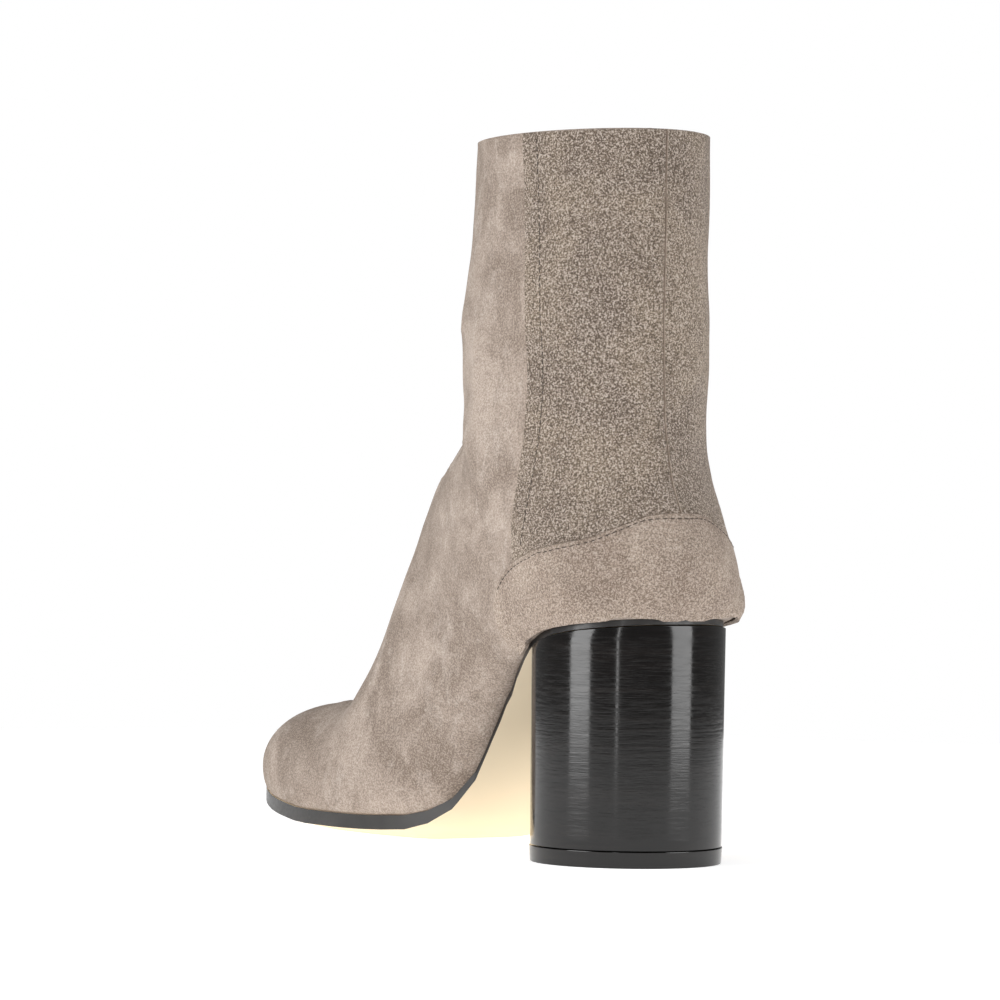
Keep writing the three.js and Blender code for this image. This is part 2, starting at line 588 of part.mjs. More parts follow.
// Insole fits inside the wall
const insoleSlab = soleBlock((x, z) => z, (x, z) => z + INSOLE);
const insoleShape = planBlock(soleOutline(() => -WALL - 2 * CLEAR), -20, 160);
const insoleNotch = planBlock(cleftNotch(CLEFT_ROOT, WALL + 4 * CLEAR), -20, 160);
const insoleFront = SECTIONS[TOE_PUFF].bx * LENGTH - 2 * WALL;
const ahead = planBlock([[insoleFront, -90], [LENGTH + 30, -90], [LENGTH + 30, 90], [insoleFront, 90]], -20, 160);
const insole = insoleSlab.intersect(insoleShape).subtract(insoleNotch).subtract(ahead);

// Outsole from the side view and the top view
const soleSlab = soleBlock((x, z) => z - CLEAR - soleThickness(x), (x, z) => z - CLEAR);
const soleShape = planBlock(soleOutline((x) => WELT * (0.35 + 0.65 * ease(x, 70, 130))), -20, 160);
const soleNotch = planBlock(cleftNotch(CLEFT_FULL - 4, -WELT), -20, 160);
const outsole = soleSlab.intersect(soleShape).subtract(soleNotch);

// Heel and its top lift
const heelRegion = soleBlock(() => -20, (x, z) => z - 2 * CLEAR - soleThickness(x));
const heel = heelColumn(LIFT, 100).intersect(heelRegion);
const lift = heelColumn(0, LIFT - CLEAR);

const PIECES = [
  { name: 'upper', solid: upper, colour: 0xa99a8e },
  { name: 'quarter_flap', solid: flap, colour: 0x9c8d80 },
  { name: 'quarter_outer', solid: quarter, colour: 0x9c8d80 },
  { name: 'heel_counter', solid: counter, colour: 0xa79788 },
  { name: 'insole', solid: insole, colour: 0xd8bd93 },
  { name: 'outsole', solid: outsole, colour: 0xc9a36c },
  { name: 'heel', solid: heel, colour: 0x17130f },
  { name: 'top_lift', solid: lift, colour: 0x100e0c },
];

// Middle of the whole boot goes over the origin
const box = new THREE.Box3();
PIECES.forEach((piece) => {
  piece.solid = whole(piece.solid);
  const bound = piece.solid.boundingBox();
  box.expandByPoint(new THREE.Vector3(...bound.min));
  box.expandByPoint(new THREE.Vector3(...bound.max));
});
const centre = box.getCenter(new THREE.Vector3());

const boot = new THREE.Group();
boot.name = 'heeled_split_toe_boot';
PIECES.forEach(({ name, solid, colour }) => {
  const mesh = solid.getMesh();
  const geometry = new THREE.BufferGeometry();
  geometry.setAttribute('position', new THREE.BufferAttribute(new Float32Array(mesh.vertProperties), 3));
  geometry.setIndex(new THREE.BufferAttribute(new Uint32Array(mesh.triVerts), 1));
  geometry.translate(-centre.x, -centre.y, -box.min.z);
  geometry.computeVertexNormals();
  const material = new THREE.MeshStandardMaterial({ color: colour, roughness: 0.7 });
  const piece = new THREE.Mesh(geometry, material);
  piece.name = name;
  boot.add(piece);
});

export default boot;
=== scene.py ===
"""Looks of a heeled split-toe ankle boot in grey-beige suede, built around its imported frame.

The upper, its lapped back panels, the heel counter, the heel and the stitching are made here from
the same named sizes as the solids. Lengths inside the classes are millimetres: x runs forward from
the back of the heel, m sideways toward the inner side of the foot, z up.
"""

import logging
import math
from dataclasses import dataclass, field
from enum import Enum
from typing import Callable, Iterable, Sequence

import bmesh
import bpy
import numpy as np
from mathutils import Matrix, Vector, noise
from mathutils.bvhtree import BVHTree

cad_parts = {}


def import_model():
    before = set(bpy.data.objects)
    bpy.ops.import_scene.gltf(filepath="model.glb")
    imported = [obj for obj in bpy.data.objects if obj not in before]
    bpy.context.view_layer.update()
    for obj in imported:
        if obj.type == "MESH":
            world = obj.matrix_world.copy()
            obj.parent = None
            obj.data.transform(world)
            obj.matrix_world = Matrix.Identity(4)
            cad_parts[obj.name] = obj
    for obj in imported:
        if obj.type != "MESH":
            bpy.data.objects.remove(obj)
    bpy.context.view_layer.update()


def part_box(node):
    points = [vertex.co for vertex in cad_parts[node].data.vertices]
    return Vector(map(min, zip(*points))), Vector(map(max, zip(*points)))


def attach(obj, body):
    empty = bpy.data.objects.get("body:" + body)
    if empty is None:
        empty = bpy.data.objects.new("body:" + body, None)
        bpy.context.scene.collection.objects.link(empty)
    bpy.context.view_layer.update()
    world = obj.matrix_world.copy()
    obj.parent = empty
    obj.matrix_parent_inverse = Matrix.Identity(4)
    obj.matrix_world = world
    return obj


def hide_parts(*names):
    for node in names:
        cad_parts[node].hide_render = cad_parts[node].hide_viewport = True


log = logging.getLogger("boot")
MM = 0.001
LENGTH = 230.0  # heel back to toe tip
HEIGHT = 245.0  # unit of the heights in the tables
HALF = 41.0  # half of the greatest width
COLLAR = 241.8  # height of the collar at the back
COLLAR_DROP = 9.5  # fall of the collar over the boot's length
WALL = 2.0  # suede with its lining
CLEAR = 0.3  # gap between two pieces that meet
SHARP = 32  # degrees from which an edge is shaded sharp

# Foot and top of each section's ridge line as shares of LENGTH and HEIGHT, then its middle, its
# widest places and the edges of its flat as shares of HALF, the level of its widest place as a
# share of its height, and how square it is below and above that level.
COLUMNS = ("bx", "bz", "tx", "tz", "mid", "inner", "outer", "fi", "fo", "hip", "cup", "full")
SECTIONS = np.array([
    (1.000, 0.056, 1.000, 0.064, 0.20, 0.21, 0.19, 0.21, 0.19, 0.40, 2.0, 2.0),
    (0.996, 0.055, 0.997, 0.097, 0.20, 0.41, 0.01, 0.39, 0.03, 0.40, 2.0, 2.0),
    (0.983, 0.051, 0.986, 0.126, 0.20, 0.61, -0.20, 0.56, -0.16, 0.40, 2.0, 2.0),
    (0.961, 0.045, 0.966, 0.149, 0.20, 0.77, -0.37, 0.71, -0.32, 0.40, 2.0, 2.1),
    (0.930, 0.038, 0.938, 0.166, 0.20, 0.87, -0.52, 0.80, -0.46, 0.38, 2.0, 2.2),
    (0.891, 0.031, 0.900, 0.178, 0.20, 0.93, -0.66, 0.86, -0.60, 0.36, 2.0, 2.2),
    (0.839, 0.026, 0.846, 0.187, 0.19, 0.97, -0.81, 0.91, -0.75, 0.34, 2.0, 2.1),
    (0.774, 0.0216, 0.772, 0.196, 0.17, 1.00, -0.94, 0.94, -0.88, 0.31, 2.0, 1.9),
    (0.696, 0.0216, 0.715, 0.246, 0.15, 1.00, -1.02, 0.93, -0.95, 0.25, 2.0, 1.65),
    (0.617, 0.0225, 0.680, 0.335, 0.12, 0.96, -1.03, 0.87, -0.95, 0.22, 2.0, 1.6),
    (0.543, 0.027, 0.650, 0.422, 0.09, 0.88, -0.98, 0.74, -0.88, 0.23, 2.0, 1.65),
    (0.478, 0.050, 0.622, 0.486, 0.06, 0.80, -0.91, 0.58, -0.78, 0.25, 2.0, 1.75),
    (0.413, 0.116, 0.591, 0.531, 0.04, 0.76, -0.86, 0.44, -0.68, 0.28, 2.0, 1.85),
    (0.343, 0.208, 0.554, 0.561, 0.02, 0.77, -0.84, 0.44, -0.64, 0.32, 2.0, 1.95),
    (0.270, 0.268, 0.522, 0.586, 0.00, 0.81, -0.84, 0.55, -0.66, 0.36, 2.2, 2.0),
    (0.200, 0.300, 0.501, 0.603, 0.00, 0.85, -0.86, 0.68, -0.72, 0.38, 2.4, 2.0),
    (0.135, 0.316, 0.491, 0.614, 0.00, 0.88, -0.88, 0.75, -0.76, 0.40, 2.5, 2.0),
    (0.080, 0.325, 0.490, 0.624, 0.00, 0.90, -0.90, 0.67, -0.67, 0.43, 2.6, 2.0),
    (0.038, 0.330, 0.493, 0.632, 0.00, 0.91, -0.91, 0.50, -0.50, 0.47, 2.7, 2.0),
    (0.012, 0.333, 0.498, 0.640, 0.00, 0.92, -0.92, 0.28, -0.28, 0.51, 2.8, 2.0),
    (-0.004, 0.340, 0.502, 0.648, 0.00, 0.92, -0.92, 0, 0, 0.54, 2.7, 2.0),
    (-0.016, 0.362, 0.505, 0.659, 0.00, 0.92, -0.92, 0, 0, 0.55, 2.3, 2.0),
    (-0.019, 0.398, 0.505, 0.676, 0.00, 0.92, -0.91, 0, 0, 0.55, 1.9, 2.0),
    (0.006, 0.456, 0.502, 0.705, 0.00, 0.93, -0.91, 0, 0, 0.54, 1.65, 2.0),
    (0.040, 0.516, 0.493, 0.745, 0.00, 0.93, -0.91, 0, 0, 0.52, 1.7, 2.0),
    (0.060, 0.600, 0.478, 0.795, 0.00, 0.90, -0.90, 0, 0, 0.51, 1.9, 2.0),
    (0.064, 0.710, 0.466, 0.856, 0.00, 0.87, -0.88, 0, 0, 0.50, 2.0, 2.0),
    (0.065, 0.850, 0.461, 0.930, 0.00, 0.85, -0.86, 0, 0, 0.50, 2.0, 2.0),
    (0.065, 1.040, 0.456, 1.040, 0.00, 0.84, -0.85, 0, 0, 0.50, 2.0, 2.0),
])
HEEL_ROW = 19  # last row that stands on the sole
TOE_ROW = 4  # row whose middle the cleft follows


def between(rows: np.ndarray, place: float) -> np.ndarray:
    """Smooth row of a table between two of its rows.

    Args:
        rows: the table, one row for each place.
        place: where to read it, counted in rows.

    Returns:
        One value for each column.
    """
    last = len(rows) - 1
    i = min(max(math.floor(place), 0), last - 1)
    f = place - i
    a, b = rows[i], rows[i + 1]
    before = 2 * a - b if i == 0 else rows[i - 1]
    after = 2 * b - a if i == last - 1 else rows[i + 2]

    def slope(left: np.ndarray, right: np.ndarray) -> np.ndarray:
        same = left * right > 0
        return np.where(same, 2 * left * right / np.where(same, left + right, 1.0), 0.0)

    start, end = slope(a - before, b - a), slope(b - a, after - b)
    f2, f3 = f * f, f ** 3
    value = (2 * f3 - 3 * f2 + 1) * a + (f3 - 2 * f2 + f) * start
    return value + (3 * f2 - 2 * f3) * b + (f3 - f2) * end


def ease(value: float, low: float, high: float) -> float:
    """Eased step from 0 at low to 1 at high.

    Args:
        value: where to read the step.
        low: where it starts.
        high: where it ends.

    Returns:
        The height of the step.
    """
    f = min(max((value - low) / (high - low), 0.0), 1.0)
    return f * f * (3 - 2 * f)


def bump(value: float, middle: float, width: float) -> float:
    """Soft hump of height 1.

    Args:
        value: where to read the hump.
        middle: its middle.
        width: half its width.

    Returns:
        The height there.
    """
    return math.exp(-(((value - middle) / width) ** 2))


def linear(code: str) -> tuple[float, float, float, float]:
    """Linear colour of an sRGB hex code.

    Args:
        code: six hex digits after a hash.

    Returns:
        Red, green, blue and an alpha of 1.
    """
    parts = [int(code[n:n + 2], 16) / 255 for n in (1, 3, 5)]
    turned = [p / 12.92 if p <= 0.04045 else ((p + 0.055) / 1.055) ** 2.4 for p in parts]
    return (turned[0], turned[1], turned[2], 1.0)


@dataclass
class Cleft:
    """Split between the big toe and the other toes."""

    gap: float = 4.4
    lip: float = 10.0
    mouth: float = 6.0
    opens: float = 26.0
    root: float = 179.0
    full: float = 193.0
    under: float = 8.0

    def half(self, x: float) -> float:
        """Half width down at the sole.

        Args:
            x: distance forward.

        Returns:
            The half width, wider toward the mouth.
        """
        turn = min(max((x - LENGTH + self.opens) / self.opens, 0.0), 1.0)
        return self.gap / 2 + self.mouth * (1 - math.sqrt(1 - 0.96 * turn ** 2))

    def drop(self, distance: float, depth: float, half: float) -> float:
        """Fall of the surface into the cleft.

        Args:
            distance: distance from the middle line of the cleft.
            depth: how deep the cleft is here.
            half: its half width.

        Returns:
            The fall of the surface.
        """
        reach = half + self.lip
        if depth <= 0 or distance >= reach:
            return 0.0
        if distance <= half:
            return depth
        arc = self.lip - math.sqrt(max(self.lip ** 2 - (reach - distance) ** 2, 0.0))
        return min(1.0, depth / self.lip) * arc


@dataclass
class Last:
    """Form that the boot is made on, given by its sections."""

    origin: Vector
    cleft: Cleft = field(default_factory=Cleft)
    camber: float = 3.8
    flat_ends: tuple[float, float] = (88, 132)
    cup_steps: int = 12
    crown_steps: int = 22
    lip_steps: int = 14
    wall_steps: int = 6

    def place(self, x: float, m: float, z: float) -> Vector:
        """Point of the frame in metres.

        Args:
            x: distance forward.
            m: distance to the inner side.
            z: height.

        Returns:
            The point.
        """
        return Vector((self.origin.x + m, self.origin.y - x, z)) * MM

    def side(self, widest: float, flat: float, size: dict[str, float]) -> list[tuple[float, float]]:
        """One side of a section, from the sole up to the ridge.

        Args:
            widest: half width at the widest point.
            flat: half width of the flat underside.
            size: the other sizes of the section.

        Returns:
            Sideways distance and height of each point.
        """
        hip, start, height = size["hip"], size["start"], size["height"]
        depth, half, full, cup = size["depth"], size["half"], size["full"], size["cup"]
        found = []
        for k in range(self.cup_steps + 1):
            turn = k / self.cup_steps * math.pi / 2
            out = math.sin(turn) ** (2 / cup)
            rise = 1 - max(math.cos(turn), 0.0) ** (2 / cup)
            found.append((flat + (widest - flat) * out, start + (hip - start) * rise))

        def crown(m: float) -> float:
            return hip + (height - hip) * max(1 - (m / widest) ** full, 0.0) ** (1 / full)

        reach = half + self.cleft.lip
        zone = max(min(reach, 0.92 * widest), 0.36 * widest)
        for k in range(1, self.crown_steps + 1):
            m = widest * math.cos(k / self.crown_steps * math.acos(zone / widest))
            found.append((m, crown(m)))
        for k in range(1, self.lip_steps + 1):
            turn = k / self.lip_steps * math.pi / 2
            m = (half + self.cleft.lip * (1 - math.sin(turn))) * zone / reach
            found.append((m, crown(m)))
        lowered = [(m, h - self.cleft.drop(m + 0.001, depth, half)) for m, h in found]
        edge, foot = lowered[-1][1], crown(half * zone / reach) - depth
        for k in range(1, self.wall_steps + 1):
            lowered.append((half * zone / reach, edge + (foot - edge) * k / self.wall_steps))
        return lowered

    def ring(self, place: float) -> list[Vector]:
        """Points around one section, from the sole's inner edge over the ridge to its outer edge.

        Args:
            place: where along the table the section is.

        Returns:
            The points in metres.
        """
        row = dict(zip(COLUMNS, between(SECTIONS, place)))
        foot = np.array([row["bx"] * LENGTH, row["bz"] * HEIGHT])
        up = np.array([row["tx"] * LENGTH, row["tz"] * HEIGHT]) - foot
        height = float(np.linalg.norm(up))
        up /= height
        mid = row["mid"] * HALF
        curl = min(self.camber * ease(foot[0], *self.flat_ends), 0.2 * height)
        size = {
            "hip": row["hip"] * height,
            "height": height,
            "cup": row["cup"],
            "full": row["full"],
            "depth": ease(foot[0], self.cleft.root, self.cleft.full) * (height + self.cleft.under),
            "start": curl - (CLEAR if place < HEEL_ROW else 0.0),
            "half": self.cleft.half(foot[0]),
        }
        inner = self.side(row["inner"] * HALF - mid, max(row["fi"] * HALF - mid, 0.0), size)
        outer = self.side(mid - row["outer"] * HALF, max(mid - row["fo"] * HALF, 0.0), size)
        middle = (0.0, height - size["depth"])
        loop = [*inner, middle, *((-m, h) for m, h in reversed(outer))]
        low = min(size["start"], 0.1)
        raised = [(m, max(h, low)) for m, h in loop]
        return [self.place(foot[0] + up[0] * h, mid + m, foot[1] + up[1] * h) for m, h in raised]

    def sole_height(self, x: float) -> float:
        """Height of the middle of the sole's top.

        Args:
            x: distance forward.

        Returns:
            The height.
        """
        rows = SECTIONS[HEEL_ROW::-1]
        return float(np.interp(x, rows[:, 0] * LENGTH, rows[:, 1] * HEIGHT))


def new_object(name: str, form: bmesh.types.BMesh) -> bpy.types.Object:
    """Object of the scene from a finished form, riding on the boot.

    Args:
        name: its name.
        form: the form in metres, which is freed.

    Returns:
        The object.
    """
    mesh = bpy.data.meshes.new(name)
    for face in form.faces:
        face.smooth = True
    for edge in form.edges:
        edge.smooth = edge.calc_face_angle(0.0) < math.radians(SHARP)
    form.to_mesh(mesh)
    form.free()
    made = bpy.data.objects.new(name, mesh)
    bpy.context.scene.collection.objects.link(made)
    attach(made, "root")
    return made


def sheet_of(rows: Sequence[Sequence[Vector]]) -> bmesh.types.BMesh:
    """Open sheet through rows of points.

    Args:
        rows: the rows, each with as many points.

    Returns:
        The sheet.
    """
    form = bmesh.new()
    bmesh.ops.create_grid(form, x_segments=len(rows[0]) - 1, y_segments=len(rows) - 1, size=1.0)
    form.verts.ensure_lookup_table()
    order = sorted(form.verts, key=lambda v: (round(v.co.y, 5), round(v.co.x, 5)))
    for vert, point in zip(order, (p for row in rows for p in row)):
        vert.co = point
    return form


def add_bevel(piece: bpy.types.Object, width: float, segments: int,
              turn: float) -> bpy.types.BevelModifier:
    """Rounds the sharp edges of a piece.

    Args:
        piece: the piece.
        width: how wide the rounding is in millimetres.
        segments: how many steps it has.
        turn: degrees between two faces from which their edge is rounded.

    Returns:
        The modifier.
    """
    edge = piece.modifiers.new("edge", "BEVEL")
    edge.width = width * MM
    edge.segments = segments
    edge.limit_method = "ANGLE"
    edge.angle_limit = math.radians(turn)
    return edge


def add_thickness(piece: bpy.types.Object, thickness: float, inside: int = 0, rim: int = 0) -> None:
    """Gives a sheet its wall, inward from its outer face.

    Args:
        piece: the sheet.
        thickness: the wall in millimetres.
        inside: how far on in the material slots the inner face is.
        rim: how far on the cut edge is.
    """
    wall = piece.modifiers.new("wall", "SOLIDIFY")
    wall.thickness = thickness * MM
    wall.offset = -1.0
    wall.use_rim = True
    wall.material_offset = inside
    wall.material_offset_rim = rim
    add_bevel(piece, 0.3, 2, 55)


class Nodes:
    """Material under construction."""

    def __init__(self, name: str) -> None:
        """Starts a material with its shader.

        Args:
            name: its name.
        """
        self.material = bpy.data.materials.new(name)
        self.material.use_nodes = True
        self.tree = self.material.node_tree
        self.shader = self.tree.nodes["Principled BSDF"]

    def add(self, kind: str, settings: dict | None = None,
            links: dict | None = None) -> bpy.types.Node:
        """Adds one node.

        Args:
            kind: its type without the ShaderNode prefix.
            settings: attributes by name, and socket values by index or name with a leading star.
            links: sockets that feed its inputs, by index or name.

        Returns:
            The node.
        """
        node = self.tree.nodes.new("ShaderNode" + kind)
        for key, value in (settings or {}).items():
            if isinstance(key, int):
                node.inputs[key].default_value = value
            elif key.startswith("*"):
                node.inputs[key[1:]].default_value = value
            else:
                setattr(node, key, value)
        for key, socket in (links or {}).items():
            self.tree.links.new(socket, node.inputs[key])
        return node

    def millimetres(self, stretch: tuple[float, float, float] = (1, 1, 1)) -> bpy.types.NodeSocket:
        """Place on the object in millimetres.

        Args:
            stretch: how much finer the pattern is along each axis.

        Returns:
            The socket with the place.
        """
        at = self.add("TexCoord").outputs["Object"]
        settings = {"operation": "MULTIPLY", 1: [s / MM for s in stretch]}
        return self.add("VectorMath", settings, {0: at}).outputs[0]

    def noise(self, at: bpy.types.NodeSocket, size: float, detail: float = 2.0,
              twist: float = 0.0, rough: float = 0.5) -> bpy.types.NodeSocket:
        """Cloudy pattern.

        Args:
            at: place in millimetres.
            size: size of one cloud in millimetres.
            detail: how many finer layers it has.
            twist: how far it is bent.
            rough: strength of the finer layers.

        Returns:
            The socket with its value.
        """
        settings = {
            "*Scale": 1 / size, "*Detail": detail, "*Distortion": twist, "*Roughness": rough,
        }
        return self.add("TexNoise", settings, {"Vector": at}).outputs["Fac"]

    def ramp(self, value: bpy.types.NodeSocket, low: float, high: float,
             bottom: float = 0.0, top: float = 1.0) -> bpy.types.NodeSocket:
        """Value stretched between two levels.

        Args:
            value: the socket with the value.
            low: the level that gives bottom.
            high: the level that gives top.
            bottom: lowest result.
            top: highest result.

        Returns:
            The socket with the result.
        """
        settings = {"interpolation_type": "SMOOTHSTEP", 1: low, 2: high, 3: bottom, 4: top}
        return self.add("MapRange", settings, {0: value}).outputs[0]

    def mix(self, share: bpy.types.NodeSocket, first: str | bpy.types.NodeSocket,
            second: str | bpy.types.NodeSocket) -> bpy.types.NodeSocket:
        """Mix of two colours.

        Args:
            share: how much of the second.
            first: a hex code or a socket.
            second: a hex code or a socket.

        Returns:
            The socket with the colour.
        """
        node = self.add("Mix", {"data_type": "RGBA"})
        self.tree.links.new(share, node.inputs["Factor"])
        for slot, colour in ((6, first), (7, second)):
            if isinstance(colour, str):
                node.inputs[slot].default_value = linear(colour)
            else:
                self.tree.links.new(colour, node.inputs[slot])
        return node.outputs[2]

    def raise_by(self, height: bpy.types.NodeSocket, strength: float, depth: float,
                 onto: bpy.types.NodeSocket | None = None) -> bpy.types.NodeSocket:
        """Relief in the surface.

        Args:
            height: the socket with the relief.
            strength: how strongly it shows.
            depth: its depth in millimetres.
            onto: relief that is already there.

        Returns:
            The socket with the normal.
        """
        links = {"Height": height}
        if onto is not None:
            links["Normal"] = onto
        return self.add("Bump", {"*Strength": strength, "*Distance": depth * MM}, links).outputs[0]

    def link(self, name: str, socket: bpy.types.NodeSocket) -> None:
        """Feeds one socket of the shader.

        Args:
            name: the socket's name.
            socket: what feeds it.
        """
        self.tree.links.new(socket, self.shader.inputs[name])

    def set(self, **values: object) -> None:
        """Sets sockets of the shader that are the same all over.

        Args:
            values: socket names with underscores for spaces, and their values.
        """
        for key, value in values.items():
            self.shader.inputs[key.replace("_", " ")].default_value = value


@dataclass(frozen=True)
class Suede:
    """Brushed nap suede: clouds where the nap lies another way, fine nap, specks of painted shade
    in its hollows and flecks of painted highlight on its tips.
    """

    name: str
    dark: str
    light: str
    rubbed: str
    cloud: float
    speck: float
    scuffs: float
    # Colour of the painted shade in the grain's hollows, colour of the painted highlight on its
    # raised tips, and the tint of the shader's own sheen.
    hollow_shade_colour: str = "#3E362F"
    tip_highlight_colour: str = "#DDD1C6"
    bloom: str = "#D9CFC6"

    def make(self) -> bpy.types.Material:
        """Builds the material.

        Returns:
            The material.
        """
        n = Nodes(self.name)
        at = n.millimetres()
        clouds = n.noise(at, self.cloud, 4.0, 0.6, 0.6)
        colour = n.mix(n.ramp(clouds, 0.36, 0.66), self.dark, self.light)
        strokes = n.noise(n.millimetres((1.0, 1.0, 0.55)), 9.0, 5.0, 1.2, 0.65)
        colour = n.mix(n.ramp(strokes, 0.50, 0.78, 0.0, self.scuffs), colour, self.rubbed)
        patches = n.noise(at, 5.0, 3.0, 0.4, 0.6)
        colour = n.mix(n.ramp(patches, 0.42, 0.70, 0.0, 0.25), colour, self.dark)
        grain = n.noise(at, 0.62, 3.0, 0.0, 0.8)
        # Dark specks where the grain relief is low: painted shade in its hollows.
        hollow_shade = n.ramp(grain, 0.49, 0.42, 0.0, self.speck)
        colour = n.mix(hollow_shade, colour, self.hollow_shade_colour)
        # Pale flecks where the grain relief is high: painted highlight on its raised tips.
        tip_highlight = n.ramp(grain, 0.51, 0.58, 0.0, self.speck * 0.75)
        colour = n.mix(tip_highlight, colour, self.tip_highlight_colour)
        n.link("Base Color", colour)
        n.link("Roughness", n.ramp(clouds, 0.3, 0.7, 0.82, 0.95))
        n.set(Sheen_Weight=0.22, Sheen_Roughness=0.55, Specular_IOR_Level=0.2)
        n.shader.inputs["Sheen Tint"].default_value = linear(self.bloom)
        relief = n.raise_by(strokes, 0.25, 0.5)
        n.link("Normal", n.raise_by(grain, 0.5, 0.22, relief))
        return n.material


@dataclass(frozen=True)
class Leather:
    """Smooth or polished leather with a fine grain."""

    name: str
    dark: str
    light: str
    roughness: float
    coat: float = 0.0
    grain: float = 1.4
    depth: float = 0.08

    def make(self) -> bpy.types.Material:
        """Builds the material.

        Returns:
            The material.
        """
        n = Nodes(self.name)
        at = n.millimetres()
        grain = n.noise(at, self.grain, 4.0, 0.2, 0.6)
        wide = n.noise(at, 18.0, 3.0, 0.5, 0.5)
        n.link("Base Color", n.mix(n.ramp(wide, 0.35, 0.65), self.dark, self.light))
        spread = n.ramp(grain, 0.3, 0.7, self.roughness * 0.85, min(self.roughness * 1.15, 1.0))
        n.link("Roughness", spread)
        n.set(Coat_Weight=self.coat, Coat_Roughness=0.12)
        n.link("Normal", n.raise_by(grain, 0.35, self.depth))
        return n.material


@dataclass(frozen=True)
class StackedLeather:
    """Black polished heel whose leather layers show as fine level lines."""

    name: str
    body: str
    line: str
    layer: float = 2.6

    def make(self) -> bpy.types.Material:
        """Builds the material.

        Returns:
            The material.
        """
        n = Nodes(self.name)
        lines = n.noise(n.millimetres((0.05, 0.05, 1.0)), self.layer, 4.0, 0.0, 0.75)
        scratches = n.noise(n.millimetres((0.12, 0.12, 1.0)), 0.8, 3.0, 0.0, 0.7)
        colour = n.mix(n.ramp(lines, 0.45, 0.75, 0.0, 0.8), self.body, self.line)
        n.link("Base Color", colour)
        n.link("Roughness", n.ramp(scratches, 0.35, 0.7, 0.09, 0.19))
        n.set(Specular_IOR_Level=0.5)
        relief = n.raise_by(lines, 0.25, 0.12)
        n.link("Normal", n.raise_by(scratches, 0.22, 0.05, relief))
        return n.material


class Finish(Enum):
    """Every finish of the boot."""

    # FRONT is lighter and PANEL darker partly as painted light: the front's pale tone is partly
    # painted sheen, the panels' dark tone partly painted shade, the rest their own tone.
    FRONT = Suede("suede_front", "#85766A", "#AC9D91", "#C4B8AE", 24.0, 0.34, 0.55)
    PANEL = Suede("suede_panel", "#706256", "#877868", "#928475", 30.0, 0.72, 0.2)
    COUNTER = Suede("suede_counter", "#8A796C", "#A59587", "#B0A296", 22.0, 0.48, 0.3)
    CUT = Suede("suede_cut_edge", "#B5A698", "#C9BBAE", "#D3C7BC", 8.0, 0.15, 0.2)
    LINING = Leather("lining_leather", "#B79A72", "#C9AE88", 0.6)
    INSOLE = Leather("insole_leather", "#C4A47A", "#D6BA92", 0.55)
    SOLE = Leather("sole_leather", "#BF8E50", "#CFA066", 0.42, 0.15, 0.9, 0.04)
    EDGE = Leather("sole_edge", "#1B1918", "#2B2927", 0.38, 0.2, 1.2, 0.06)
    HEEL = StackedLeather("heel_stack", "#080605", "#1C1816")
    THREAD = Leather("thread", "#3F3731", "#51473F", 0.8, 0.0, 0.3, 0.1)


def finish(kind: Finish) -> bpy.types.Material:
    """Material of a finish, made once.

    Args:
        kind: which finish.

    Returns:
        The material.
    """
    return bpy.data.materials.get(kind.value.name) or kind.value.make()


def dress(piece: bpy.types.Object, kinds: Iterable[Finish]) -> None:
    """Gives a piece its materials.

    Args:
        piece: the piece.
        kinds: its finishes in order.
    """
    if piece.data.materials:
        piece.data.materials.clear()
    for kind in kinds:
        piece.data.materials.append(finish(kind))


@dataclass(frozen=True)
class Crease:
    """Soft fold along a straight line of the side view.

    The place across it is counted from x, m and z by the shares in across. It is level there,
    and fades in over starts, counted forward, and over rises, and out over fades, counted in z.
    """

    height: float
    across: tuple[float, float, float]
    level: float
    width: float
    starts: tuple[float, float] = (-2.0, -1.0)
    rises: tuple[float, float] = (-2.0, -1.0)
    fades: tuple[float, float] = (300.0, 301.0)

    def at(self, x: float, m: float, z: float) -> float:
        """How far the crease lifts the surface.

        Args:
            x: distance forward.
            m: distance to the inner side.
            z: the height.

        Returns:
            The distance outward, negative in a trough.
        """
        place = sum(share * value for share, value in zip(self.across, (x, m, z)))
        fade = ease(x, *self.starts) * ease(z, *self.rises) * (1 - ease(z, *self.fades))
        return self.height * bump(place, self.level, self.width) * fade


